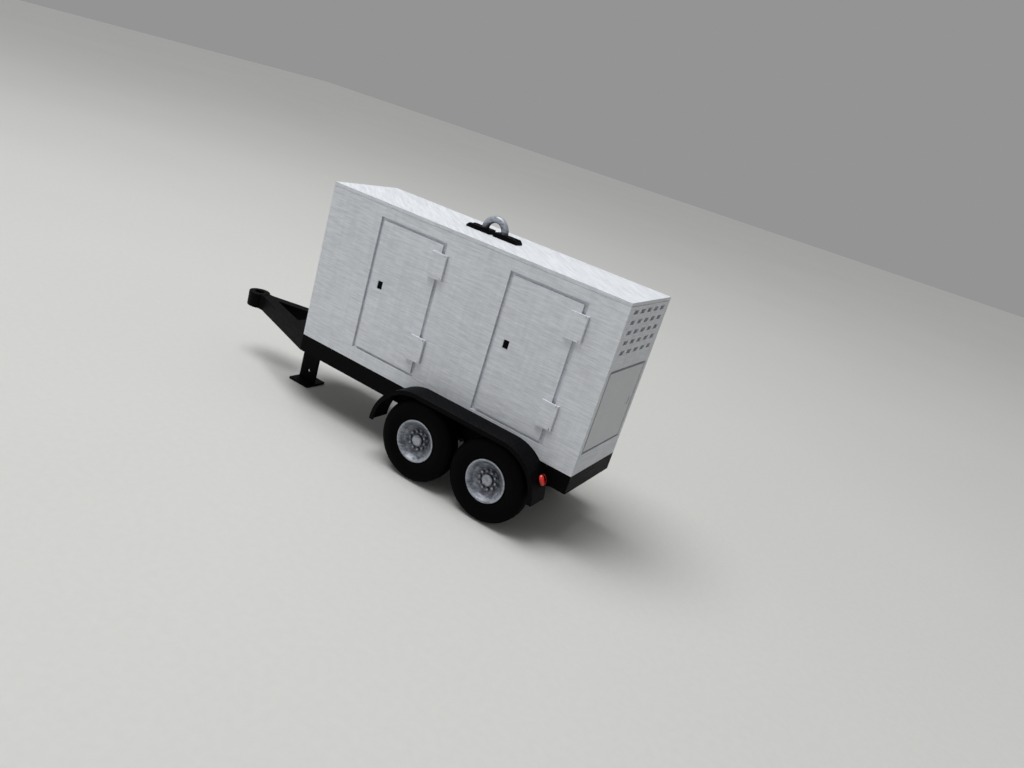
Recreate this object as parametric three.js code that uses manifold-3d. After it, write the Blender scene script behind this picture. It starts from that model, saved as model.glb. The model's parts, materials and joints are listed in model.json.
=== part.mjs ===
// Towable diesel generator, 1:48 scale miniature.
// Millimetres, +Z up, floor at z = 0. +X runs to the rear of the trailer, -Y is its left side.
import * as THREE from 'three';
import { mergeVertices } from 'three/addons/utils/BufferGeometryUtils.js';
import Module from 'manifold-3d';

const wasm = await Module();
wasm.setup();

// ---- driving dimensions ----
const HALF_LENGTH = 51.5; // the tow eye's front and the rear wall lie this far from the origin
const GAP = 0.02; // fit between parts that rest on each other

const BODY_LENGTH = 73.4;
const BODY_WIDTH = 21.2;
const BODY_REAR = HALF_LENGTH;
const BODY_FRONT = BODY_REAR - BODY_LENGTH;
const HALF_WIDTH = BODY_WIDTH / 2;
const RAIL_BOTTOM = 12.4;
const RAIL_TOP = 16.4;
const WALL_TOP = 51.6;
const ROOF_TOP = 52.4;
const WALL = 1.4; // enclosure sheet with its folded edge
const PAN_TOP = 17.3;

const TYRE_RADIUS = 9.0;
const WHEEL_INNER = 11.4; // distance of the tyre's inner side from the centreline
const FRONT_AXLE_X = BODY_FRONT + 40.15;
const REAR_AXLE_X = BODY_FRONT + 58.45;
const AXLE_RADIUS = 0.85;
const SPINDLE_RADIUS = 0.5;

const DOOR_WIDTH = 17.7; // outer edge of the groove round a side door
const DOOR_HEIGHT = 29.9;
const DOOR_BOTTOM = 19.45;
const DOOR_GROOVE = { upright: 0.9, level: 0.65, depth: 0.52 };
const DOOR_RECESS = 0.9;
const DOOR_THICK = 0.85;
const DOOR_GAP = 0.06; // between the door's flange and the edge of its opening
const DOOR_FRONTS = { front: BODY_FRONT + 14.5, rear: BODY_FRONT + 47.8 };

const HINGE_HEIGHT = 5.4;
const HINGE_BOTTOMS = { lower: 23.1, upper: 41.6 };
const HINGE_PLATE = 0.5;
const HINGE_REACH = { front: 2.8, rear: 0.4, axis: 0.75 }; // measured from the groove's rear edge
const HINGE_OUT = 0.3; // the pin's distance from the wall's face
const KNUCKLE = { radius: 0.26, bore: 0.2 };
const LUG = { radius: 0.28, height: 0.5 };
const HINGE_PIN = 0.14;

const REAR_DOOR_HALF = 9.3;
const REAR_DOOR_Z = [20.9, 38.6];
const REAR_GROOVE = 0.55;

const EYE_X = -HALF_LENGTH + 2.6;
const EYE_RADIUS = 2.6;
const DRAWBAR_TOP = RAIL_TOP - 0.3;
const DECK_TOP = DRAWBAR_TOP - 0.45;

const JACK_X = BODY_FRONT - 5.35;
const LEG_HALF = 2.45;
const LEG_THICK = 0.8;
const LEG_HOLES = [3.1, 14.7]; // heights of the pin holes with the leg down

const FENDER_EDGE = 16.1;
const FENDER_SHEET = 0.5;

// ---- materials ----
const paint = (color, roughness, metalness) =>
  new THREE.MeshStandardMaterial({ color, roughness, metalness });
const white = () => paint(0xd9dce0, 0.6, 0.0);
const black = () => paint(0x17181b, 0.55, 0.0);
const rubber = () => paint(0x1b1b1c, 0.8, 0.0);
const silver = () => paint(0xa9adb5, 0.38, 0.75);
const red = () => paint(0xc41a14, 0.35, 0.0);
const steel = () => paint(0x5b5f66, 0.45, 0.6);

// ---- solids ----
// A closed geometry becomes a manifold body that faces outwards.
function solid(geometry) {
  const bare = new THREE.BufferGeometry();
  bare.setAttribute('position', geometry.getAttribute('position').clone());
  if (geometry.index) bare.setIndex(geometry.index.clone());
  const merged = mergeVertices(bare, 1e-4);
  const p = merged.getAttribute('position').array;
  const index = Array.from(merged.index.array);
  const tris = [];
  let volume = 0;
  for (let i = 0; i < index.length; i += 3) {
    const [a, b, c] = [index[i], index[i + 1], index[i + 2]];
    if (a === b || b === c || c === a) continue;
    tris.push([a, b, c]);
    const va = new THREE.Vector3(p[3 * a], p[3 * a + 1], p[3 * a + 2]);
    const vb = new THREE.Vector3(p[3 * b], p[3 * b + 1], p[3 * b + 2]);
    const vc = new THREE.Vector3(p[3 * c], p[3 * c + 1], p[3 * c + 2]);
    volume += va.dot(vb.cross(vc));
  }
  const triVerts = new Uint32Array(tris.flatMap(([a, b, c]) => (volume < 0 ? [a, c, b] : [a, b, c])));
  return new wasm.Manifold(new wasm.Mesh({ numProp: 3, vertProperties: new Float32Array(p), triVerts }));
}

const sum = (bodies) => bodies.reduce((total, body) => total.add(body));
const cut = (body, tools) => tools.reduce((rest, tool) => rest.subtract(tool), body);

function box(x0, x1, y0, y1, z0, z1) {
  const g = new THREE.BoxGeometry(Math.abs(x1 - x0), Math.abs(y1 - y0), Math.abs(z1 - z0));
  g.translate((x0 + x1) / 2, (y0 + y1) / 2, (z0 + z1) / 2);
  return solid(g);
}

// A rod from one end to the other along the axis 'x', 'y' or 'z'; end radii may differ.
function rod(axis, from, to, centre, radius, segments = 16, endRadius = radius) {
  const g = new THREE.CylinderGeometry(endRadius, radius, to - from, segments);
  g.translate(0, (from + to) / 2, 0);
  if (axis === 'x') g.applyMatrix4(new THREE.Matrix4().set(0, 1, 0, 0, 0, 0, 1, 0, 1, 0, 0, 0, 0, 0, 0, 1));
  if (axis === 'z') g.rotateX(Math.PI / 2);
  if (axis === 'x') g.translate(0, centre[0], centre[1]);
  if (axis === 'y') g.translate(centre[0], 0, centre[1]);
  if (axis === 'z') g.translate(centre[0], centre[1], 0);
  return solid(g);
}

// A flat outline in the plane across `axis`, pulled from one station to the other.
function slab(axis, outline, from, to, holes = []) {
  const shape = new THREE.Shape(outline.map(([u, v]) => new THREE.Vector2(u, v)));
  for (const hole of holes) shape.holes.push(new THREE.Path(hole.map(([u, v]) => new THREE.Vector2(u, v))));
  const g = new THREE.ExtrudeGeometry(shape, { depth: to - from, bevelEnabled: false });
  g.translate(0, 0, from);
  if (axis === 'y') g.applyMatrix4(new THREE.Matrix4().set(1, 0, 0, 0, 0, 0, 1, 0, 0, 1, 0, 0, 0, 0, 0, 1));
  if (axis === 'x') g.applyMatrix4(new THREE.Matrix4().set(0, 0, 1, 0, 1, 0, 0, 0, 0, 1, 0, 0, 0, 0, 0, 1));
  return solid(g);
}

// A profile of [radius, station] points turned about the Y direction through (x, z).
function turned(profile, x, z, segments) {
  const closed = [...profile, profile[0]];
  const g = new THREE.LatheGeometry(closed.map(([r, s]) => new THREE.Vector2(r, s)), segments);
  g.translate(x, 0, z);
  return solid(g);
}

function arc(cx, cz, radius, from, to, steps) {
  const points = [];
  for (let i = 0; i <= steps; i += 1) {
    const a = THREE.MathUtils.degToRad(from + ((to - from) * i) / steps);
    points.push([cx + radius * Math.cos(a), cz + radius * Math.sin(a)]);
  }
  return points;
}

const group = new THREE.Group();
group.name = 'towable_generator';

function place(name, body, material) {
  const mesh = body.getMesh();
  const g = new THREE.BufferGeometry();
  g.setAttribute('position', new THREE.BufferAttribute(new Float32Array(mesh.vertProperties), 3));
  g.setIndex(new THREE.BufferAttribute(new Uint32Array(mesh.triVerts), 1));
  g.computeVertexNormals();
  const node = new THREE.Mesh(g, material);
  node.name = name;
  group.add(node);
}

const SIDES = [['left', -1], ['right', 1]];

// ---- chassis ----
// Rails are channels that open inwards; cross members tie them; hangers carry the springs.
const RAIL_WIDTH = 1.6;
const CROSS_X = [BODY_FRONT + 21, BODY_FRONT + 36.4, BODY_FRONT + 53];
const HANGER_X = [FRONT_AXLE_X - 8.4, (FRONT_AXLE_X + REAR_AXLE_X) / 2, REAR_AXLE_X + 8.4];
const SPRING_Y = 9.75;

function chassisFrame() {
  const bodies = [];
  for (const [, s] of SIDES) {
    const back = s * (HALF_WIDTH - RAIL_WIDTH);
    const outer = box(BODY_FRONT, BODY_REAR, s * HALF_WIDTH, back, RAIL_BOTTOM, RAIL_TOP - GAP);
    const hollow = box(BODY_FRONT + 1.2, BODY_REAR - 1.2, s * (HALF_WIDTH - 0.6), back - s * 0.1,
      RAIL_BOTTOM + 0.6, RAIL_TOP - 0.6);
    bodies.push(outer.subtract(hollow));
    for (const x of HANGER_X) {
      for (const [near, far] of [[0.55, 0.85], [-0.75, -0.55]]) {
        const [y0, y1] = [s * (SPRING_Y + near), s * (SPRING_Y + far)];
        bodies.push(box(x - 0.7, x + 0.7, y0, y1, 10.6, RAIL_BOTTOM + 0.1));
      }
    }
  }
  const inside = HALF_WIDTH - 0.3;
  bodies.push(box(BODY_FRONT, BODY_FRONT + 1.3, -inside, inside, RAIL_BOTTOM, RAIL_TOP - GAP));
  bodies.push(box(BODY_REAR - 1.3, BODY_REAR, -inside, inside, RAIL_BOTTOM, RAIL_TOP - GAP));
  for (const x of CROSS_X) {
    bodies.push(box(x - 0.7, x + 0.7, -inside, inside, RAIL_BOTTOM + 0.5, RAIL_TOP - GAP));
  }
  return sum(bodies);
}
place('chassis_frame', chassisFrame(), black());

// ---- drawbar ----
// Two deep arms run from the frame's front corners to the tow eye; a deck plate joins them.
const ARM_SPAN = 2.85; // an arm's width measured across the trailer
const ARM_FRONT = { x: EYE_X + 3.4, half: 1.5 };

// One arm in plan. Its inner edge runs parallel to the outer one and stops at the centreline.
function armOutline(s) {
  const backX = BODY_FRONT - GAP;
  const slope = (HALF_WIDTH - ARM_FRONT.half) / (backX - ARM_FRONT.x);
  const innerBack = HALF_WIDTH - ARM_SPAN;
  const meetX = backX - innerBack / slope;
  return [
    [backX, s * HALF_WIDTH], [ARM_FRONT.x, s * ARM_FRONT.half],
    [ARM_FRONT.x, 0], [meetX, 0], [backX, s * innerBack],
  ];
}

// A block round the jack's leg, wider than it by `grow` on every side.
function legBlock(grow, z0, z1) {
  const halfX = LEG_HALF + grow;
  const halfY = LEG_THICK / 2 + grow;
  return box(JACK_X - halfX, JACK_X + halfX, -halfY, halfY, z0, z1);
}

function drawbar() {
  const deckX = BODY_FRONT - 8.9;
  const backX = BODY_FRONT - GAP;
  const bodies = SIDES.map(([, s]) => slab('z', armOutline(s), RAIL_BOTTOM, DRAWBAR_TOP));
  bodies.push(box(EYE_X + 1, ARM_FRONT.x + 3, -ARM_FRONT.half, ARM_FRONT.half, RAIL_BOTTOM, DRAWBAR_TOP));
  bodies.push(slab('z', [[deckX, -6], [backX, -8.6], [backX, 8.6], [deckX, 6]], DECK_TOP - 0.75, DECK_TOP));
  const slot = legBlock(0.45, RAIL_BOTTOM - 1, RAIL_TOP);
  const eyeSeat = rod('z', RAIL_BOTTOM - 1, RAIL_TOP + 1, [EYE_X, 0], EYE_RADIUS + 0.03, 40);
  return cut(sum(bodies), [slot, eyeSeat]);
}
place('drawbar', drawbar(), black());

function towEye() {
  const ring = rod('z', RAIL_BOTTOM, DRAWBAR_TOP + 0.1, [EYE_X, 0], EYE_RADIUS, 40);
  return ring.subtract(rod('z', RAIL_BOTTOM - 1, RAIL_TOP + 1, [EYE_X, 0], 1.15, 28));
}
place('tow_eye', towEye(), black());

// ---- jack ----
// A flat drop leg slides in a sleeve that hangs in the drawbar's deck. Both are drilled for a pin.
const pinHole = (z) => rod('y', -2, 2, [JACK_X, z], 0.55, 16);

function jackSleeve() {
  const tube = legBlock(0.3, RAIL_BOTTOM + 0.2, DECK_TOP + 0.2);
  const collar = legBlock(0.8, DECK_TOP + GAP, DRAWBAR_TOP);
  const bore = legBlock(0.06, RAIL_BOTTOM - 1, RAIL_TOP);
  return cut(tube.add(collar), [bore, pinHole(LEG_HOLES[1])]);
}
place('jack_sleeve', jackSleeve(), black());
place('jack_leg', cut(legBlock(0, 0.6, DRAWBAR_TOP + 0.2), LEG_HOLES.map(pinHole)), black());
place('jack_foot', box(JACK_X - 3.1, JACK_X + 3.1, -3.1, 3.1, 0, 0.58), black());

// ---- axles and springs ----
function axle(x) {
  const tube = rod('y', -10.9, 10.9, [x, TYRE_RADIUS], AXLE_RADIUS, 20);
  const spindle = rod('y', -14.2, 14.2, [x, TYRE_RADIUS], SPINDLE_RADIUS, 20);
  const pads = SIDES.map(([, s]) =>
    box(x - 1.2, x + 1.2, s * (SPRING_Y - 0.5), s * (SPRING_Y + 0.5), TYRE_RADIUS + 0.3, TYRE_RADIUS + 1.05));
  return sum([tube, spindle, ...pads]);
}
place('front_axle', axle(FRONT_AXLE_X), black());
place('rear_axle', axle(REAR_AXLE_X), black());

// Three leaves, each shorter than the one above, with a rolled eye at both ends.
function leafSpring(x, s) {
  const span = 7.55;
  const bottom = TYRE_RADIUS + 1.05 + GAP;
  const rise = (u) => 0.75 * (u / span) ** 2;
  const leaf = (half, z0, thick) => {
    const points = [];
    for (let i = -4; i <= 4; i += 1) points.push([x + (half * i) / 4, z0 + rise((half * i) / 4)]);
    for (let i = 4; i >= -4; i -= 1) points.push([x + (half * i) / 4, z0 + thick + rise((half * i) / 4)]);
    return slab('y', points, s * SPRING_Y - 0.45, s * SPRING_Y + 0.45);
  };
  const bodies = [leaf(3.2, bottom, 0.42), leaf(5.2, bottom + 0.38, 0.42), leaf(span, bottom + 0.76, 0.42)];
  for (const end of [-1, 1]) {
    const eye = [x + end * span, bottom + 1.62];
    bodies.push(rod('y', s * SPRING_Y - 0.45, s * SPRING_Y + 0.45, eye, 0.42, 12));
  }
  return sum(bodies);
}
for (const [side, s] of SIDES) {
  place(`${side}_front_spring`, leafSpring(FRONT_AXLE_X, s), steel());
  place(`${side}_rear_spring`, leafSpring(REAR_AXLE_X, s), steel());
}

// ---- wheels ----
// Stations run outwards from the tyre's inner side.
const TYRE_PROFILE = [
  [4.18, 0.82], [4.7, 0.78], [4.85, 0.4], [6.4, 0.0], [7.8, 0.15], [8.7, 0.8], [TYRE_RADIUS, 1.7],
  [TYRE_RADIUS, 3.0], [8.7, 3.9], [7.8, 4.55], [6.4, 4.7], [4.85, 4.3], [4.7, 3.92], [4.18, 3.88],
  [4.18, 3.2], [6.4, 3.8], [7.8, 3.0], [7.8, 1.7], [6.4, 0.9], [4.18, 1.5],
];
const WHEEL_FACETS = 32;
const RIM_PROFILE = [
  [4.63, 0.4], [4.63, 0.62], [4.15, 0.76], [4.15, 3.94], [4.63, 4.08], [4.63, 4.3], [4.3, 4.3], [4.0, 3.95],
  [3.45, 3.2], [2.75, 2.75], [1.25, 2.75], [1.25, 2.45], [2.85, 2.45], [3.65, 2.85], [3.85, 2.9], [3.85, 0.4],
];
const HUB_PROFILE = [
  [0.56, 0.1], [2.3, 0.1], [2.3, 1.9], [2.0, 2.43], [1.2, 2.43], [1.2, 2.77], [2.45, 2.77], [2.45, 2.95],
  [1.25, 2.95], [1.2, 3.5], [0.95, 3.7], [0.0, 3.75], [0.0, 3.1], [0.56, 3.1],
];

function station(profile, s) {
  return profile.map(([r, out]) => [r, s * (WHEEL_INNER + out)]);
}

function hub(x, s) {
  const bodies = [turned(station(HUB_PROFILE, s), x, TYRE_RADIUS, 20)];
  for (let i = 0; i < 10; i += 1) {
    const a = (i / 10) * 2 * Math.PI;
    const centre = [x + 1.95 * Math.cos(a), TYRE_RADIUS + 1.95 * Math.sin(a)];
    const ends = [s * (WHEEL_INNER + 2.9), s * (WHEEL_INNER + 3.3)].sort((p, q) => p - q);
    bodies.push(rod('y', ends[0], ends[1], centre, 0.3, 6));
  }
  return sum(bodies);
}

for (const [side, s] of SIDES) {
  for (const [end, x] of [['front', FRONT_AXLE_X], ['rear', REAR_AXLE_X]]) {
    place(`${side}_${end}_tyre`, turned(station(TYRE_PROFILE, s), x, TYRE_RADIUS, WHEEL_FACETS), rubber());
    place(`${side}_${end}_rim`, turned(station(RIM_PROFILE, s), x, TYRE_RADIUS, WHEEL_FACETS), silver());
    place(`${side}_${end}_hub`, hub(x, s), silver());
  }
}

// ---- fenders ----
// The front end hangs forward of its wheel; the rear end follows the rear wheel down.
const FENDER_REAR = { x: REAR_AXLE_X + 1.25, z: TYRE_RADIUS, radius: 9.9 };
const FENDER_FRONT = { x: FRONT_AXLE_X - 2.4, z: TYRE_RADIUS - 0.1, radius: 10 };

function fenderLine(inset) {
  const front = arc(FENDER_FRONT.x, FENDER_FRONT.z, FENDER_FRONT.radius - inset, 181, 90, 14);
  const rear = arc(FENDER_REAR.x, FENDER_REAR.z, FENDER_REAR.radius - inset, 90, 2, 14);
  return [...front, ...rear];
}

function fender(s) {
  const inner = s * (HALF_WIDTH + GAP);
  const outer = s * FENDER_EDGE;
  const band = (depth, y0, y1) =>
    slab('y', [...fenderLine(0), ...fenderLine(depth).reverse()], Math.min(y0, y1), Math.max(y0, y1));
  return band(FENDER_SHEET, inner, outer).add(band(0.95, s * (FENDER_EDGE - 0.4), outer));
}

// The lamp's round body stands on the rear curve, square to the sheet.
const LAMP_ANGLE = THREE.MathUtils.degToRad(28);
const LAMP_PROFILE = [[0, 0], [1.15, 0], [1.15, 0.45], [0.85, 0.75], [0.4, 0.88], [0, 0.9]];

function tailLamp(s) {
  const g = new THREE.LatheGeometry(LAMP_PROFILE.map(([r, h]) => new THREE.Vector2(r, h)), 24);
  g.rotateX(Math.PI / 2);
  g.rotateY(Math.PI / 2 - LAMP_ANGLE);
  const stand = FENDER_REAR.radius + GAP;
  g.applyMatrix4(new THREE.Matrix4().makeTranslation(
    FENDER_REAR.x + stand * Math.cos(LAMP_ANGLE), s * 12.3, FENDER_REAR.z + stand * Math.sin(LAMP_ANGLE)));
  return solid(g);
}

for (const [side, s] of SIDES) {
  place(`${side}_fender`, fender(s), black());
  place(`${side}_tail_lamp`, tailLamp(s), red());
}

// ---- enclosure ----
const SHELL_FLOOR = RAIL_TOP;
const LIP = 1.1; // how far the door stop reaches inside the opening

// Each side door: its name, its side, its front and rear edges, and the line of its hinge pins.
const SIDE_DOORS = SIDES.flatMap(([side, s]) => Object.entries(DOOR_FRONTS).map(([end, x0]) => {
  const x1 = x0 + DOOR_WIDTH;
  return { name: `${side}_${end}_door`, s, x0, x1, axisX: x1 + HINGE_REACH.axis };
}));
const HINGE_Y = HALF_WIDTH + HINGE_OUT;
const DOOR_TOP = DOOR_BOTTOM + DOOR_HEIGHT;

function sideOpening({ s, x0, x1 }) {
  const hole = (inset, depth) => box(x0 + inset, x1 - inset, s * (HALF_WIDTH + 1), s * (HALF_WIDTH - depth),
    DOOR_BOTTOM + inset, DOOR_TOP - inset);
  return hole(0, DOOR_RECESS).add(hole(LIP, WALL + 1));
}

// The wall's half of a hinge: a lug at each end and the pin between them.
function wallHinge({ s, axisX }, z0) {
  const top = z0 + HINGE_HEIGHT;
  const bodies = [rod('z', z0 + 0.1, top - 0.1, [axisX, s * HINGE_Y], HINGE_PIN, 10)];
  const [x0, x1] = [axisX - LUG.radius, axisX + LUG.radius];
  for (const z of [z0, top - LUG.height]) {
    bodies.push(rod('z', z, z + LUG.height, [axisX, s * HINGE_Y], LUG.radius, 16));
    bodies.push(box(x0, x1, s * (HALF_WIDTH - 0.1), s * HINGE_Y, z, z + LUG.height));
  }
  return sum(bodies);
}

// The door's half: a plate with a knuckle between the wall's lugs.
function doorHinge({ s, x1, axisX }, z0) {
  const top = z0 + HINGE_HEIGHT;
  const near = s * (HALF_WIDTH + GAP);
  const far = s * (HALF_WIDTH + GAP + HINGE_PLATE);
  const plate = box(x1 - HINGE_REACH.front, x1 + HINGE_REACH.rear, near, far, z0, top);
  const [low, high] = [z0 + LUG.height + GAP, top - LUG.height - GAP];
  const neck = box(x1 + HINGE_REACH.rear - 0.1, axisX, s * (HINGE_Y - KNUCKLE.radius), far, low, high);
  const knuckle = rod('z', low, high, [axisX, s * HINGE_Y], KNUCKLE.radius, 16);
  const bore = rod('z', z0, top, [axisX, s * HINGE_Y], KNUCKLE.bore, 10);
  return sum([plate, neck, knuckle]).subtract(bore);
}

const REAR_PIVOT = { x: BODY_REAR - 0.45, y: -REAR_DOOR_HALF + REAR_GROOVE + 0.5, radius: 0.22 };

function rearOpening() {
  const [z0, z1] = REAR_DOOR_Z;
  const recess = box(BODY_REAR - DOOR_RECESS, BODY_REAR + 1, -REAR_DOOR_HALF, REAR_DOOR_HALF, z0, z1);
  const through = box(BODY_REAR - WALL - 1, BODY_REAR + 1, -REAR_DOOR_HALF, REAR_DOOR_HALF - 1.6,
    z0 + 1, z1 - 1);
  const pivot = [REAR_PIVOT.x, REAR_PIVOT.y];
  const sockets = rod('z', z0 - 0.6, z1 + 0.6, pivot, REAR_PIVOT.radius + 0.06, 12);
  const sweep = rod('z', z0, z1, pivot, 0.75, 24);
  return sum([recess, through, sockets, sweep]);
}

// Five rows of five slanted air slots above the rear door.
const VENT = [[-1.25, -0.42], [0.75, -0.42], [1.25, 0.42], [-0.75, 0.42]];

function vents() {
  const slots = [];
  for (let row = 0; row < 5; row += 1) {
    for (let column = 0; column < 5; column += 1) {
      const y = (column - 2) * 3.55;
      const z = 50.4 - row * 2.05;
      const outline = VENT.map(([dy, dz]) => [y + dy, z + dz]);
      slots.push(slab('x', outline, BODY_REAR - WALL - 1, BODY_REAR + 1));
    }
  }
  return sum(slots);
}

function enclosureWalls() {
  const outer = box(BODY_FRONT, BODY_REAR, -HALF_WIDTH, HALF_WIDTH, SHELL_FLOOR, WALL_TOP);
  const inner = box(BODY_FRONT + WALL, BODY_REAR - WALL, -HALF_WIDTH + WALL, HALF_WIDTH - WALL,
    SHELL_FLOOR - 1, WALL_TOP + 1);
  const shell = cut(outer, [inner, rearOpening(), vents(), ...SIDE_DOORS.map(sideOpening)]);
  const levels = Object.values(HINGE_BOTTOMS);
  const hinges = SIDE_DOORS.flatMap((door) => levels.map((z0) => wallHinge(door, z0)));
  return sum([shell, ...hinges]);
}
place('enclosure_walls', enclosureWalls(), white());

// A block whose sides stand `inset` inside the enclosure's outer faces.
function within(inset, z0, z1) {
  return box(BODY_FRONT + inset, BODY_REAR - inset, -HALF_WIDTH + inset, HALF_WIDTH - inset, z0, z1);
}

function basePan() {
  const inlet = box(BODY_FRONT + 22.5, BODY_FRONT + 27, -6, 6, SHELL_FLOOR - 1, PAN_TOP + 1);
  return within(WALL + GAP, SHELL_FLOOR, PAN_TOP).subtract(inlet);
}
place('base_pan', basePan(), black());

function roofPanel() {
  const top = within(0, WALL_TOP + 0.08, ROOF_TOP);
  const seam = within(0.15, WALL_TOP + GAP, WALL_TOP + 0.3);
  const flange = within(WALL + 0.05, 51.05, WALL_TOP + 0.3);
  const hollow = within(WALL + 0.85, 50, WALL_TOP + 0.1);
  return sum([top, seam, flange]).subtract(hollow);
}
place('roof_panel', roofPanel(), white());

// ---- doors ----
const LATCH = { width: 1.3, height: 1.8, depth: 0.7, fromEdge: 3.6, z: 35.2 };
const REAR_LATCH = { width: 1.1, height: 1.6, depth: 0.7, y: 7.0, z: 29.8 };

// The pivot of a paddle latch lies near the top of its pocket.
const pivotDrop = (latch) => latch.height / 2 - 0.35;

function sideDoor({ s, x0, x1 }) {
  const leaf = (dx, dz, from, to) =>
    box(x0 + dx, x1 - dx, s * (HALF_WIDTH - from), s * (HALF_WIDTH - to), DOOR_BOTTOM + dz, DOOR_TOP - dz);
  const panel = leaf(DOOR_GROOVE.upright, DOOR_GROOVE.level, 0, DOOR_THICK);
  const flange = leaf(DOOR_GAP, DOOR_GAP, DOOR_GROOVE.depth, DOOR_THICK);
  const liner = leaf(1.6, 1.6, DOOR_THICK - 0.1, DOOR_THICK + 0.5);
  const x = x0 + LATCH.fromEdge;
  const [halfWide, halfTall] = [LATCH.width / 2, LATCH.height / 2];
  const pocket = box(x - halfWide, x + halfWide, s * (HALF_WIDTH + 1), s * (HALF_WIDTH - LATCH.depth),
    LATCH.z - halfTall, LATCH.z + halfTall);
  const pivot = rod('x', x - 0.85, x + 0.85, [s * (HALF_WIDTH - 0.33), LATCH.z + pivotDrop(LATCH)], 0.17, 10);
  return cut(sum([panel, flange, liner]), [pocket, pivot]);
}

function sideLatch({ s, x0 }) {
  const x = x0 + LATCH.fromEdge;
  const half = LATCH.width / 2 - 0.06;
  const z = LATCH.z + pivotDrop(LATCH);
  const bottom = LATCH.z - LATCH.height / 2 + 0.08;
  const paddle = box(x - half, x + half, s * (HALF_WIDTH - 0.1), s * (HALF_WIDTH - 0.55), bottom, z + 0.2);
  return paddle.add(rod('x', x - 0.8, x + 0.8, [s * (HALF_WIDTH - 0.33), z], 0.12, 10));
}

for (const door of SIDE_DOORS) {
  place(door.name, sideDoor(door), white());
  for (const [level, z0] of Object.entries(HINGE_BOTTOMS)) {
    place(`${door.name}_${level}_hinge`, doorHinge(door, z0), white());
  }
  place(`${door.name}_latch`, sideLatch(door), black());
}

function rearDoor() {
  const half = REAR_DOOR_HALF - REAR_GROOVE;
  const [z0, z1] = [REAR_DOOR_Z[0] + REAR_GROOVE, REAR_DOOR_Z[1] - REAR_GROOVE];
  const panel = box(BODY_REAR - DOOR_THICK, BODY_REAR, -half, half, z0, z1);
  const pivotLine = [REAR_PIVOT.x, REAR_PIVOT.y];
  const pins = rod('z', REAR_DOOR_Z[0] - 0.5, REAR_DOOR_Z[1] + 0.5, pivotLine, REAR_PIVOT.radius, 12);
  const { y, z, width, height, depth } = REAR_LATCH;
  const pocket = box(BODY_REAR - depth, BODY_REAR + 1, y - width / 2, y + width / 2,
    z - height / 2, z + height / 2);
  const pivot = rod('y', y - 0.75, y + 0.75, [BODY_REAR - 0.33, z + pivotDrop(REAR_LATCH)], 0.17, 10);
  return cut(panel.add(pins), [pocket, pivot]);
}
place('rear_door', rearDoor(), white());

function rearLatch() {
  const { y, z, width, height } = REAR_LATCH;
  const half = width / 2 - 0.06;
  const pivotZ = z + pivotDrop(REAR_LATCH);
  const bottom = z - height / 2 + 0.08;
  const paddle = box(BODY_REAR - 0.55, BODY_REAR - 0.1, y - half, y + half, bottom, pivotZ + 0.2);
  return paddle.add(rod('y', y - 0.7, y + 0.7, [BODY_REAR - 0.33, pivotZ], 0.12, 10));
}
place('rear_door_latch', rearLatch(), white());

// ---- lifting gear on the roof ----
const LIFT_X = BODY_FRONT + 35.75;
const LIFT_BAR = { length: 5.9, half: 1.3, height: 0.95 };
const RING = { radius: 2.45, wire: 0.85 };

function liftBar(direction) {
  const from = 0.55;
  const to = from + LIFT_BAR.length;
  const base = ROOF_TOP + GAP;
  const top = ROOF_TOP + LIFT_BAR.height;
  const outline = [[from, base], [to, base], [to, base + 0.35], [to - 0.6, top], [from, top]]
    .map(([u, z]) => [LIFT_X + direction * u, z]);
  const bar = slab('y', outline, -LIFT_BAR.half, LIFT_BAR.half);
  const start = LIFT_X + direction * (RING.radius + 1.5);
  const groove = box(start, LIFT_X + direction * (to + 1), -0.45, 0.45, top - 0.3, top + 1);
  const seat = rod('z', base + 0.35, top + 1, [LIFT_X + direction * RING.radius, 0], RING.wire + 0.04, 20);
  return cut(bar, [groove, seat]);
}
place('front_lift_bar', liftBar(-1), black());
place('rear_lift_bar', liftBar(1), black());

function liftRing() {
  const round = new THREE.Shape(arc(0, 0, RING.wire, 0, 324, 9).map(([u, v]) => new THREE.Vector2(u, v)));
  const base = ROOF_TOP + 0.45;
  const top = ROOF_TOP + LIFT_BAR.height;
  const line = new THREE.CurvePath();
  const at = (x, z) => new THREE.Vector3(LIFT_X + x, 0, z);
  const bow = arc(0, 0, RING.radius, 180, 0, 18).map(([u, v]) => at(u, top + v));
  const stops = [at(-RING.radius, base), ...bow, at(RING.radius, base)];
  for (let i = 1; i < stops.length; i += 1) line.add(new THREE.LineCurve3(stops[i - 1], stops[i]));
  return solid(new THREE.ExtrudeGeometry(round, { steps: 26, bevelEnabled: false, extrudePath: line }));
}
place('lift_ring', liftRing(), silver());

// ---- generating set inside ----
const b = (x) => BODY_FRONT + x;

function engine() {
  const shaftZ = 26.5;
  const bodies = [
    box(b(33), b(52), -4.2, 4.2, 20.5, 32),
    box(b(34), b(51), -3.2, 3.2, 31.9, 36.5),
    box(b(35), b(50), -2.4, 2.4, 36.4, 38),
    box(b(34.5), b(50.5), -3, 3, 18.9, 20.6),
    rod('x', b(30.2), b(33.2), [0, shaftZ], 6, 24, 5),
    box(b(35), b(49), 4.1, 6, 31, 33.2),
    box(b(38), b(46), -6.2, -4.1, 25, 30.5),
    rod('x', b(51.9), b(53.6), [0, shaftZ - 2.5], 2, 20),
    rod('x', b(51.9), b(58), [0, shaftZ + 3.5], 0.9, 16),
    rod('z', 33, 39.4, [b(42), 5], 1.1, 14),
  ];
  for (const x of [36, 48]) bodies.push(box(b(x) - 1, b(x) + 1, -6.5, 6.5, PAN_TOP + GAP, 21.2));
  return sum(bodies);
}
place('diesel_engine', engine(), steel());

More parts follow.
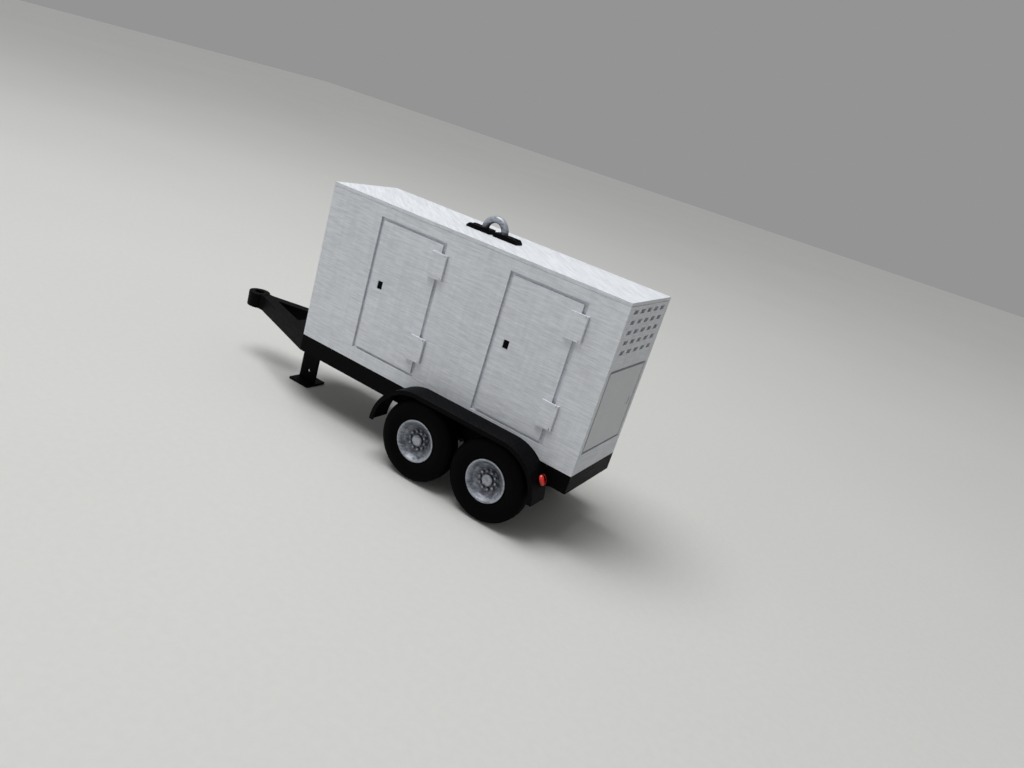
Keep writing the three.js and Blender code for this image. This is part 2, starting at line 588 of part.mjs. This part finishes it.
function alternator() {
  const axis = [0, 26.5];
  const bodies = [
    rod('x', b(13.5), b(30.2 - GAP), axis, 6, 28),
    rod('x', b(11.8), b(13.6), axis, 4.6, 24, 6),
    box(b(17), b(25), -3.4, 3.4, 31.8, 35),
    rod('x', b(29.2), b(30.2 - GAP), axis, 6.4, 28),
  ];
  for (const x of [17, 26]) bodies.push(box(b(x) - 1, b(x) + 1, -6, 6, PAN_TOP + GAP, 22.5));
  return sum(bodies);
}
place('alternator', alternator(), black());

function coolingFan() {
  const axis = [0, 30];
  const hub = rod('x', b(57), b(59.2), axis, 1.6, 18).subtract(rod('x', b(55), b(58.2), axis, 0.95, 16));
  const blades = [];
  for (let i = 0; i < 6; i += 1) {
    const a = (i / 6) * 2 * Math.PI;
    const g = new THREE.BoxGeometry(0.35, 2.6, 5.2);
    g.rotateZ(0.5);
    g.translate(0, 0, 1.4 + 2.6);
    g.rotateX(a);
    g.translate(b(58.3), axis[0], axis[1]);
    blades.push(solid(g));
  }
  return sum([hub, ...blades]);
}
place('cooling_fan', coolingFan(), black());

// Core, tanks and the shroud ring that surrounds the fan.
function radiator() {
  const bodies = [
    box(b(62), b(64.2), -7.6, 7.6, 20.4, 45.6),
    box(b(61.6), b(64.6), -7.9, 7.9, PAN_TOP + GAP, 20.5),
    box(b(61.6), b(64.6), -7.9, 7.9, 45.5, 48.6),
  ];
  const fanAxis = [0, 30];
  const shroud = rod('x', b(59.6), b(62.1), fanAxis, 7.6, 28);
  const throat = rod('x', b(59), b(63), fanAxis, 7.1, 28);
  return sum([...bodies, shroud.subtract(throat)]);
}
place('radiator', radiator(), black());

function muffler() {
  const axis = [0, 44.6];
  const can = rod('x', b(28), b(52), axis, 3, 24);
  const outlet = rod('x', b(25.5), b(28.1), axis, 1.2, 16);
  const inlet = rod('z', 38 + GAP, 42.2, [b(46), 0], 1.2, 16);
  return sum([can, outlet, inlet]);
}
place('muffler', muffler(), steel());

function fuelTank() {
  const tank = box(b(2.2), b(9.6), -8.4, 8.4, PAN_TOP + GAP, 39);
  const neck = rod('z', 38.9, 40.6, [b(5.9), 4.5], 1.5, 18);
  return tank.add(neck);
}
place('fuel_tank', fuelTank(), black());

function battery() {
  const box0 = box(b(55.5), b(60.5), 3.6, 8.4, PAN_TOP + GAP, 21.4);
  const posts = [4.8, 7.2].map((y) => rod('z', 21.3, 22, [b(58), y], 0.45, 12));
  return sum([box0, ...posts]);
}
place('battery', battery(), black());

// A cabinet on its own stand, turned towards the front door on the left.
function controlPanel() {
  const cabinet = box(b(15.4), b(25), -8.8, -7.3, 33, 45);
  const stand = box(b(16.4), b(17.6), -8.7, -7.5, PAN_TOP + GAP, 33.1);
  const screen = box(b(17), b(21), -9, -8.6, 38.5, 42.5);
  const keys = [22.4, 23.8].map((x) => rod('y', -9.05, -8.7, [b(x), 41.4], 0.45, 12));
  return sum([cabinet, stand, screen, ...keys]);
}
place('control_panel', controlPanel(), steel());

export default group;
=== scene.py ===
"""A 1:48 printed model of a towable diesel generator, dressed and lit for a product picture."""
import json
import math

import bmesh
import bpy
from mathutils import Matrix, Vector


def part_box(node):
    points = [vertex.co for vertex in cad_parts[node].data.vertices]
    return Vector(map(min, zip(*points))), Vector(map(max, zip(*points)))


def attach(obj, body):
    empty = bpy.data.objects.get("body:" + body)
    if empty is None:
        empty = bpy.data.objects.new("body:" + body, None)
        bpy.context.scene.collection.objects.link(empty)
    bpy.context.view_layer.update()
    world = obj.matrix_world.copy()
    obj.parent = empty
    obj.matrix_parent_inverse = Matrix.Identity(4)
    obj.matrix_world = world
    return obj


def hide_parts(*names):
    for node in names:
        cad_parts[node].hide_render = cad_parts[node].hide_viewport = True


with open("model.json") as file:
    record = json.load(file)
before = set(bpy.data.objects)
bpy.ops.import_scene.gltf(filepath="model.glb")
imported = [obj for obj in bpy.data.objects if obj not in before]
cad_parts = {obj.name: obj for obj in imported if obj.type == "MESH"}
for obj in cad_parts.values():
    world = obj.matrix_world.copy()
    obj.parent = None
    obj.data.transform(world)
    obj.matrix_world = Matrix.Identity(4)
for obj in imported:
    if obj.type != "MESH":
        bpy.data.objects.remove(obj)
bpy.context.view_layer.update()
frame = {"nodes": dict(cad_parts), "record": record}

MM = 0.001
LAYER = 0.2 * MM  # height of one printed layer
SIDES = {"left": -1, "right": 1}
ENDS = ("front", "rear")


# ---- node helpers ----

def new_material(name, roughness, metallic=0.0):
    """A material with its shader, and its node tree for the caller to wire."""
    material = bpy.data.materials.new(name)
    material.use_nodes = True
    shader = material.node_tree.nodes["Principled BSDF"]
    shader.inputs["Roughness"].default_value = roughness
    shader.inputs["Metallic"].default_value = metallic
    return material, material.node_tree, shader


def add(tree, kind, **settings):
    """A node. Each setting names a property, or an input socket with underscores for spaces."""
    node = tree.nodes.new(kind)
    for key, value in settings.items():
        socket = key.replace("_", " ").title()
        if socket in node.inputs:
            node.inputs[socket].default_value = value
        else:
            setattr(node, key, value)
    return node


def noise(tree, coords, scale, detail=3.0):
    """Noise stretched by its own number of features per metre along each axis."""
    mapping = add(tree, "ShaderNodeMapping", Scale=scale)
    texture = add(tree, "ShaderNodeTexNoise", Scale=1.0, Detail=detail)
    tree.links.new(coords, mapping.inputs["Vector"])
    tree.links.new(mapping.outputs[0], texture.inputs["Vector"])
    return texture.outputs["Fac"]


def bands(tree, coords, axis, pitch):
    """A sine across one axis that repeats every pitch metres."""
    texture = add(tree, "ShaderNodeTexWave", bands_direction=axis, Scale=2 * math.pi / (20 * pitch))
    tree.links.new(coords, texture.inputs["Vector"])
    return texture.outputs["Fac"]


def math_node(tree, operation, *values):
    node = add(tree, "ShaderNodeMath", operation=operation)
    for socket, value in zip(node.inputs, values):
        if isinstance(value, (int, float)):
            socket.default_value = value
        else:
            tree.links.new(value, socket)
    return node.outputs[0]


def weighted(tree, terms):
    """The sum of (output, weight) terms."""
    total = 0.0
    for output, weight in terms:
        total = math_node(tree, "MULTIPLY_ADD", output, weight, total)
    return total


def ramp(tree, factor, stops):
    """A colour ramp with (position, colour) stops."""
    node = add(tree, "ShaderNodeValToRGB")
    elements = node.color_ramp.elements
    while len(elements) < len(stops):
        elements.new(0.5)
    for element, (position, colour) in zip(elements, stops):
        element.position = position
        element.color = (*colour, 1.0)
    tree.links.new(factor, node.inputs["Fac"])
    return node.outputs["Color"]


def bump(tree, shader, height, depth):
    node = add(tree, "ShaderNodeBump", Strength=1.0, Distance=depth)
    tree.links.new(height, node.inputs["Height"])
    tree.links.new(node.outputs["Normal"], shader.inputs["Normal"])


def scaled(colour, factor):
    return tuple(channel * factor for channel in colour)


# ---- materials ----
# Features per metre along X, Y and Z: the print's unevenness and its ringing for each build axis,
# and the nozzle's passes over a level face.

UNEVEN = {"Z": (320, 320, 3000), "Y": (500, 2400, 500)}
RINGING = {"Z": (1100, 1100, 110), "Y": (900, 160, 900)}
PASSES = (160, 2200, 160)


def with_raster(tree, coords, upright):
    """Upright faces keep their layers; a level face shows the nozzle's diagonal passes instead."""
    turned = add(tree, "ShaderNodeMapping", Rotation=(0, 0, math.pi / 4))
    tree.links.new(coords, turned.inputs["Vector"])
    passes = noise(tree, turned.outputs[0], PASSES, 3.0)
    facing = add(tree, "ShaderNodeSeparateXYZ")
    tree.links.new(add(tree, "ShaderNodeNewGeometry").outputs["True Normal"], facing.inputs[0])
    level = math_node(tree, "ABSOLUTE", facing.outputs["Z"])
    difference = math_node(tree, "SUBTRACT", passes, upright)
    return math_node(tree, "MULTIPLY_ADD", difference, level, upright)


def printed(name, colour, roughness, contrast, axis="Z", relief=0.03, shine=0.5):
    """Printed plastic: layer lines across the build axis, uneven along them, and faint ringing."""
    material, tree, shader = new_material(name, roughness)
    shader.inputs["Specular IOR Level"].default_value = shine
    coords = add(tree, "ShaderNodeTexCoord").outputs["Object"]
    lines = bands(tree, coords, axis, LAYER)
    uneven = noise(tree, coords, UNEVEN[axis], 4.0)
    if axis == "Z":
        uneven = with_raster(tree, coords, uneven)
    ghost = noise(tree, coords, RINGING[axis], 2.0)
    cloud = noise(tree, coords, (70, 70, 70), 2.0)
    height = weighted(tree, [(lines, 0.35), (uneven, 1.0), (ghost, 0.4)])
    tone = weighted(tree, [(uneven, 0.65), (ghost, 0.2), (cloud, 0.15)])
    stops = [(0.36, scaled(colour, 1 - contrast)), (0.64, scaled(colour, 1 + contrast / 2))]
    tree.links.new(ramp(tree, tone, stops), shader.inputs["Base Color"])
    gloss = math_node(tree, "MULTIPLY_ADD", uneven, 0.3, roughness - 0.15)
    tree.links.new(gloss, shader.inputs["Roughness"])
    bump(tree, shader, height, relief * MM)
    return material


def silver_paint():
    """Silver brushed over print, with painted shade: an occlusion term darkens the hollows, so what
    stands proud stays bright.
    """
    material, tree, shader = new_material("silver_paint", 0.42, 0.25)
    coords = add(tree, "ShaderNodeTexCoord").outputs["Object"]
    strokes = noise(tree, coords, (900, 900, 2200), 4.0)
    thin = noise(tree, coords, (480, 480, 480), 3.0)
    # Painted shade: ambient occlusion darkens the silver where parts crowd close, in place of
    # shadow in the hollows.
    painted_hollow_shade = add(tree, "ShaderNodeAmbientOcclusion", samples=8, Distance=2.5 * MM).outputs["AO"]
    tone = weighted(tree, [(painted_hollow_shade, 0.6), (strokes, 0.5), (thin, 0.3)])
    stops = [
        (0.66, (0.028, 0.031, 0.038)), (0.84, (0.1, 0.11, 0.135)),
        (0.92, (0.19, 0.205, 0.24)), (1.0, (0.34, 0.36, 0.4)),
    ]
    tree.links.new(ramp(tree, tone, stops), shader.inputs["Base Color"])
    tree.links.new(math_node(tree, "MULTIPLY_ADD", thin, 0.35, 0.24), shader.inputs["Roughness"])
    bump(tree, shader, weighted(tree, [(strokes, 1.0), (thin, 0.6)]), 0.05 * MM)
    return material


def red_lens():
    """Red gloss paint, a little uneven from the brush."""
    material, tree, shader = new_material("red_lens", 0.28)
    shader.inputs["Coat Weight"].default_value = 0.4
    shader.inputs["Coat Roughness"].default_value = 0.15
    coords = add(tree, "ShaderNodeTexCoord").outputs["Object"]
    dabs = noise(tree, coords, (900, 900, 900), 3.0)
    stops = [(0.35, (0.42, 0.012, 0.01)), (0.65, (0.72, 0.03, 0.02))]
    tree.links.new(ramp(tree, dabs, stops), shader.inputs["Base Color"])
    bump(tree, shader, dabs, 0.03 * MM)
    return material


def studio_paper(name, colour, spread):
    """Matt paper with a faint mottle."""
    material, tree, shader = new_material(name, 0.75)
    coords = add(tree, "ShaderNodeTexCoord").outputs["Object"]
    broad = noise(tree, coords, (9, 9, 9), 3.0)
    fine = noise(tree, coords, (700, 700, 700), 3.0)
    mottle = weighted(tree, [(broad, 0.5), (fine, 0.5)])
    stops = [(0.3, scaled(colour, 1 - spread)), (0.7, scaled(colour, 1 + spread))]
    tree.links.new(ramp(tree, mottle, stops), shader.inputs["Base Color"])
    bump(tree, shader, mottle, 0.04 * MM)
    return material


MATERIALS = {
    "white_print": printed("white_print", (0.66, 0.68, 0.72), 0.5, 0.15, relief=0.07),
    "smooth_print": printed("smooth_print", (0.55, 0.56, 0.585), 0.45, 0.06),
    "black_print": printed(
        "black_print", (0.002, 0.0021, 0.0026), 0.5, 0.3, relief=0.04, shine=0.04
    ),
    "black_tyre": printed(
        "black_tyre", (0.0016, 0.0016, 0.0018), 0.6, 0.25, axis="Y", shine=0.03
    ),
    "grey_print": printed("grey_print", (0.11, 0.114, 0.125), 0.5, 0.15),
    "silver_paint": silver_paint(),
    "red_lens": red_lens(),
}


# ---- CAD nodes ----

SHARP_ANGLE = math.radians(32)
BEVEL_ANGLE = math.radians(50)


def dress_cad_nodes():
    """Every CAD node gets the material its slot names, and smooth shading."""
    slots = {part["node"]: part["material_slot"] for part in frame["record"]["subparts"]}
    for name, node in frame["nodes"].items():
        node.data.materials.clear()
        node.data.materials.append(MATERIALS[slots[name]])
        smooth(node.data)


def smooth(mesh):
    """Smooth shading across shallow angles only."""
    for face in mesh.polygons:
        face.use_smooth = True
    mesh.set_sharp_from_angle(angle=SHARP_ANGLE)


def round_edges(names, width):
    """A printed edge is a little round."""
    for name in names:
        bevel = frame["nodes"][name].modifiers.new("edge", "BEVEL")
        bevel.width = width
        bevel.segments = 2
        bevel.limit_method = "ANGLE"
        bevel.angle_limit = BEVEL_ANGLE


# ---- mesh helpers ----

def piece(name, bm, slot, body, replaces=None):
    """A finished mesh as a piece that rides on a body."""
    bmesh.ops.recalc_face_normals(bm, faces=bm.faces)
    mesh = bpy.data.meshes.new(name)
    bm.to_mesh(mesh)
    bm.free()
    smooth(mesh)
    obj = bpy.data.objects.new(name, mesh)
    bpy.context.scene.collection.objects.link(obj)
    obj.data.materials.append(MATERIALS[slot])
    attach(obj, body)
    if replaces:
        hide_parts(replaces)


def rounded(points, cut):
    """The closed outline with each corner cut back by up to cut and bridged by a short curve."""
    result = []
    for i, corner in enumerate(points):
        before, after = points[i - 1], points[(i + 1) % len(points)]
        ends = []
        for other in (before, after):
            step = (other[0] - corner[0], other[1] - corner[1])
            length = math.hypot(*step)
            reach = min(cut, 0.45 * length) / length
            ends.append((corner[0] + step[0] * reach, corner[1] + step[1] * reach))
        for t in (0, 0.33, 0.67, 1):
            weights = ((1 - t) ** 2, 2 * t * (1 - t), t * t)
            result.append(tuple(
                weights[0] * a + weights[1] * c + weights[2] * b
                for a, c, b in zip(ends[0], corner, ends[1])
            ))
    return result


def lathe(bm, outline, centre, steps, axis="Y"):
    """Turns a closed outline of (radius, station) about the axis through centre."""
    rings = []
    for i in range(steps):
        turn = 2 * math.pi * i / steps
        ring = []
        for radius, station in outline:
            across = centre[0] + radius * math.cos(turn)
            along = centre[1] + radius * math.sin(turn)
            place = (across, station, along) if axis == "Y" else (across, along, station)
            ring.append(bm.verts.new(place))
        rings.append(ring)
    for i, ring in enumerate(rings):
        following = rings[(i + 1) % steps]
        for j in range(len(outline)):
            k = (j + 1) % len(outline)
            bm.faces.new((ring[j], ring[k], following[k], following[j]))
    bmesh.ops.remove_doubles(bm, verts=bm.verts, dist=1e-7)


# ---- wheels ----
# Stations run outwards from the tyre's inner side, in millimetres, as (radius, distance).

TYRE_OUTLINE = [
    (4.18, 0.82), (4.7, 0.78), (4.85, 0.42), (6.6, 0.02), (8.15, 0.28), (8.86, 0.95), (9.0, 1.75),
    (9.0, 2.95), (8.86, 3.75), (8.15, 4.42), (6.6, 4.68), (4.85, 4.28), (4.7, 3.92), (4.18, 3.88),
]
TYRE_ROUND = 0.5 * MM
TYRE_STEPS = 120
RIM_OUTLINE = [
    (4.63, 0.4), (4.63, 0.62), (4.15, 0.76), (4.15, 3.94), (4.63, 4.08), (4.63, 4.3),
    (4.3, 4.3), (4.0, 3.95), (3.5, 3.25), (2.8, 2.78), (1.25, 2.75), (1.25, 2.45),
    (2.85, 2.45), (3.65, 2.85), (3.85, 2.9), (3.85, 0.4),
]
RIM_ROUND = 0.12 * MM
RIM_STEPS = 96
HUB_OUTLINE = [
    (0.56, 0.1), (2.3, 0.1), (2.3, 1.9), (2.0, 2.43), (1.2, 2.43), (1.2, 2.77), (2.45, 2.77),
    (2.45, 2.95), (1.3, 2.98), (1.22, 3.45), (0.98, 3.68), (0.0, 3.75), (0.0, 3.1), (0.56, 3.1),
]
HUB_STEPS = 48
LUGS = 10
LUG_RING = 1.95 * MM
LUG_FOOT = 2.93 * MM
LUG_LEVELS = [(0.4, 0.0), (0.4, 0.32), (0.3, 0.46), (0.12, 0.54)]  # (radius, rise) of a nut, in mm


def wheel_stations(outline, side, inner):
    return [(r * MM, side * (inner + out * MM)) for r, out in outline]


def lug_nut(bm, centre, y, side):
    """A domed six-sided nut whose axis is Y."""
    rings = []
    for radius, rise in LUG_LEVELS:
        ring = []
        for i in range(6):
            turn = math.pi * i / 3
            x = centre[0] + radius * MM * math.cos(turn)
            z = centre[1] + radius * MM * math.sin(turn)
            ring.append(bm.verts.new((x, y + side * rise * MM, z)))
        rings.append(ring)
    for low, high in zip(rings, rings[1:]):
        for i in range(6):
            bm.faces.new((low[i], low[i - 1], high[i - 1], high[i]))
    bm.faces.new(rings[0])
    bm.faces.new(rings[-1])


def make_wheel(side_name, end):
    side = SIDES[side_name]
    name = f"{side_name}_{end}"
    low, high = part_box(f"{name}_tyre")
    centre = ((low.x + high.x) / 2, (low.z + high.z) / 2)
    inner = min(abs(low.y), abs(high.y))
    body = f"{name}_wheel"

    tyre = bmesh.new()
    stations = wheel_stations(TYRE_OUTLINE, side, inner)
    lathe(tyre, rounded(stations, TYRE_ROUND), centre, TYRE_STEPS)
    piece(f"{name}_tyre_detail", tyre, "black_tyre", body, f"{name}_tyre")

    rim = bmesh.new()
    stations = wheel_stations(RIM_OUTLINE, side, inner)
    lathe(rim, rounded(stations, RIM_ROUND), centre, RIM_STEPS)
    piece(f"{name}_rim_detail", rim, "silver_paint", body, f"{name}_rim")

    hub = bmesh.new()
    lathe(hub, wheel_stations(HUB_OUTLINE, side, inner), centre, HUB_STEPS)
    for i in range(LUGS):
        turn = 2 * math.pi * i / LUGS
        spot = (centre[0] + LUG_RING * math.cos(turn), centre[1] + LUG_RING * math.sin(turn))
        lug_nut(hub, spot, side * (inner + LUG_FOOT), side)
    piece(f"{name}_hub_detail", hub, "silver_paint", body, f"{name}_hub")


# ---- tow eye and lifting ring ----

EYE_BORE = 1.15 * MM
EYE_ROUND = 0.22 * MM
EYE_STEPS = 72
RING_WIRE = 0.8 * MM
RING_STEPS = 36


def make_tow_eye():
    low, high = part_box("tow_eye")
    centre = ((low.x + high.x) / 2, (low.y + high.y) / 2)
    outer = (high.x - low.x) / 2
    outline = [(EYE_BORE, low.z), (outer, low.z), (outer, high.z), (EYE_BORE, high.z)]
    eye = bmesh.new()
    lathe(eye, rounded(outline, EYE_ROUND), centre, EYE_STEPS, axis="Z")
    piece("tow_eye_detail", eye, "black_print", "trailer", "tow_eye")


def tube(bm, path, radius, sides=20):
    """A closed round tube along a path of (x, z) points in the plane y = 0."""
    rings = []
    for i, (x, z) in enumerate(path):
        before, after = path[max(i - 1, 0)], path[min(i + 1, len(path) - 1)]
        run, rise = after[0] - before[0], after[1] - before[1]
        length = math.hypot(run, rise)
        ring = []
        for j in range(sides):
            turn = 2 * math.pi * j / sides
            out = radius * math.cos(turn) / length
            ring.append(bm.verts.new((x - rise * out, radius * math.sin(turn), z + run * out)))
        rings.append(ring)
    for low, high in zip(rings, rings[1:]):
        for j in range(sides):
            bm.faces.new((low[j - 1], low[j], high[j], high[j - 1]))
    bm.faces.new(rings[0])
    bm.faces.new(rings[-1])


def make_lift_ring():
    """A bent rod whose two ends stand in the lifting bars."""
    low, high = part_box("lift_ring")
    bend = (high.x - low.x) / 2 - RING_WIRE
    middle = (low.x + high.x) / 2
    bend_start = high.z - RING_WIRE - bend
    path = [(middle - bend, low.z), (middle - bend, (low.z + bend_start) / 2)]
    for i in range(RING_STEPS + 1):
        turn = math.pi * (1 - i / RING_STEPS)
        path.append((middle + bend * math.cos(turn), bend_start + bend * math.sin(turn)))
    path += [(middle + bend, (low.z + bend_start) / 2), (middle + bend, low.z)]
    ring = bmesh.new()
    tube(ring, path, RING_WIRE)
    piece("lift_ring_detail", ring, "silver_paint", "trailer", "lift_ring")


# ---- lamps ----

LAMP_TILT = math.radians(28)
LAMP_RADIUS = 1.15 * MM
LAMP_PLATE = 0.16 * MM
LAMP_STEPS = 40
LAMP_SLOT = 0.58 * MM
# The rib in the upper half of the slot, as (distance down the fender, height) in millimetres.
LAMP_RIB = [(-1.08, 0.1), (-1.08, 0.45), (-0.8, 0.78), (-0.5, 0.88), (0.15, 0.88), (0.15, 0.1)]
LENS_LEVELS = [(1.1, 0.14), (1.1, 0.42), (0.98, 0.62), (0.78, 0.76), (0.5, 0.85)]  # (radius, rise)
LENS_STEPS = 12


def lamp_frame(node):
    """The middle of the lamp's base, and a matrix that stands Z square to the fender there."""
    low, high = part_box(node)
    x = low.x + LAMP_RADIUS * math.sin(LAMP_TILT)
    z = low.z + LAMP_RADIUS * math.cos(LAMP_TILT)
    base = Vector((x, (low.y + high.y) / 2, z))
    return Matrix.Translation(base) @ Matrix.Rotation(math.pi / 2 - LAMP_TILT, 4, "Y")


def half_lens(bm, side):
    """One half of a domed lens that a slot divides."""
    rings = []
    for radius, rise in LENS_LEVELS:
        ring = []
        for i in range(LENS_STEPS + 1):
            turn = math.pi * (i / LENS_STEPS - 0.5)
            out = LAMP_SLOT / 2 + (radius * MM - LAMP_SLOT / 2) * math.cos(turn)
            ring.append(bm.verts.new((radius * MM * math.sin(turn), side * out, rise * MM)))
        rings.append(ring)
    for low, high in zip(rings, rings[1:]):
        for i in range(LENS_STEPS + 1):
            bm.faces.new((low[i - 1], low[i], high[i], high[i - 1]))
    bm.faces.new(rings[0])
    bm.faces.new(rings[-1])


def make_lamp(side_name):
    """A black base and rib, and a red lens in two halves."""
    node = f"{side_name}_tail_lamp"
    turn = lamp_frame(node)
    base = bmesh.new()
    disc = [(0, 0), (LAMP_RADIUS, 0), (LAMP_RADIUS, LAMP_PLATE), (0, LAMP_PLATE)]
    lathe(base, disc, (0, 0), LAMP_STEPS, axis="Z")
    cheeks = [
        [base.verts.new((down * MM, side * LAMP_SLOT / 2, up * MM)) for down, up in LAMP_RIB]
        for side in (-1, 1)
    ]
    for i in range(len(LAMP_RIB)):
        base.faces.new((cheeks[0][i - 1], cheeks[0][i], cheeks[1][i], cheeks[1][i - 1]))
    for cheek in cheeks:
        base.faces.new(cheek)
    base.transform(turn)
    piece(f"{node}_base", base, "black_print", "trailer")
    lens = bmesh.new()
    for side in (-1, 1):
        half_lens(lens, side)
    lens.transform(turn)
    piece(f"{node}_lens", lens, "red_lens", "trailer", node)


# ---- stage, light and camera ----

FLOOR_REACH = 1.5
MIDDLE = (0, 0, 25 * MM)
MAIN_LIGHT_PLACE = (-0.13, -0.08, 0.55)
FILL_LIGHT_PLACE = (-0.35, -0.5, 0.25)


def make_stage():
    """A pale table, as wide as any view needs."""
    signs = ((-1, -1), (1, -1), (1, 1), (-1, 1))
    corners = [(x * FLOOR_REACH, y * FLOOR_REACH, 0) for x, y in signs]
    mesh = bpy.data.meshes.new("floor")
    mesh.from_pydata(corners, [], [(0, 1, 2, 3)])
    obj = bpy.data.objects.new("floor", mesh)
    bpy.context.scene.collection.objects.link(obj)
    mesh.materials.append(studio_paper("table_paper", (0.51, 0.51, 0.495), 0.03))


def add_light(name, kind, place, energy, **settings):
    """A light that shines from its place on the model's middle."""
    light = bpy.data.lights.new(name, kind)
    light.energy = energy
    for key, value in settings.items():
        setattr(light, key, value)
    obj = bpy.data.objects.new(name, light)
    bpy.context.scene.collection.objects.link(obj)
    obj.location = place
    obj.rotation_euler = (Vector(MIDDLE) - Vector(place)).to_track_quat("-Z", "Y").to_euler()


def make_light():
    """A soft disc overhead, a wide sun so that the table is evenly lit, and a weak cool fill."""
    world = bpy.data.worlds.new("studio")
    world.use_nodes = True
    background = world.node_tree.nodes["Background"]
    background.inputs["Color"].default_value = (0.86, 0.87, 0.86, 1)
    background.inputs["Strength"].default_value = 0.34
    bpy.context.scene.world = world
    add_light("overhead", "AREA", MAIN_LIGHT_PLACE, 1.9, shape="DISK", size=0.36)
    add_light("room", "SUN", MAIN_LIGHT_PLACE, 1.25, angle=math.radians(40))
    add_light(
        "fill", "AREA", FILL_LIGHT_PLACE, 0.3, shape="DISK", size=0.5, color=(0.93, 0.96, 1.0)
    )


# The picture's camera, in millimetres and degrees of the model's frame.
CAMERA_PLACE = Vector((95.04, -139.33, 77.63)) * MM
CAMERA_AZIMUTH = math.radians(25.577)
CAMERA_ELEVATION = math.radians(19.065)
CAMERA_ROLL = math.radians(17.485)
CAMERA_LENS = 26.74


def make_camera():
    """Looks down the trailer's rear left corner, rolled as the picture was."""
    camera = bpy.data.cameras.new("camera")
    camera.lens = CAMERA_LENS
    camera.sensor_width = 36
    camera.clip_start = 0.01
    obj = bpy.data.objects.new("camera", camera)
    bpy.context.scene.collection.objects.link(obj)
    flat = math.cos(CAMERA_ELEVATION)
    look = Vector((
        -math.sin(CAMERA_AZIMUTH) * flat,
        math.cos(CAMERA_AZIMUTH) * flat,
        -math.sin(CAMERA_ELEVATION),
    ))
    obj.location = CAMERA_PLACE
    turn = look.to_track_quat("-Z", "Y").to_matrix() @ Matrix.Rotation(CAMERA_ROLL, 3, "Z")
    obj.rotation_euler = turn.to_euler()
    bpy.context.scene.camera = obj


dress_cad_nodes()
round_edges([f"{side}_{end}_door" for side in SIDES for end in ENDS], 0.09 * MM)
round_edges([name for name in frame["nodes"] if name.endswith("_hinge")], 0.08 * MM)
round_edges([f"{side}_fender" for side in SIDES], 0.12 * MM)
round_edges(["roof_panel", "drawbar", "jack_foot", "jack_leg"], 0.12 * MM)
round_edges(["front_lift_bar", "rear_lift_bar", "chassis_frame"], 0.1 * MM)
for side_name in SIDES:
    make_lamp(side_name)
    for end in ENDS:
        make_wheel(side_name, end)
make_tow_eye()
make_lift_ring()
make_stage()
make_light()
make_camera()
bpy.context.scene.view_settings.view_transform = "Standard"
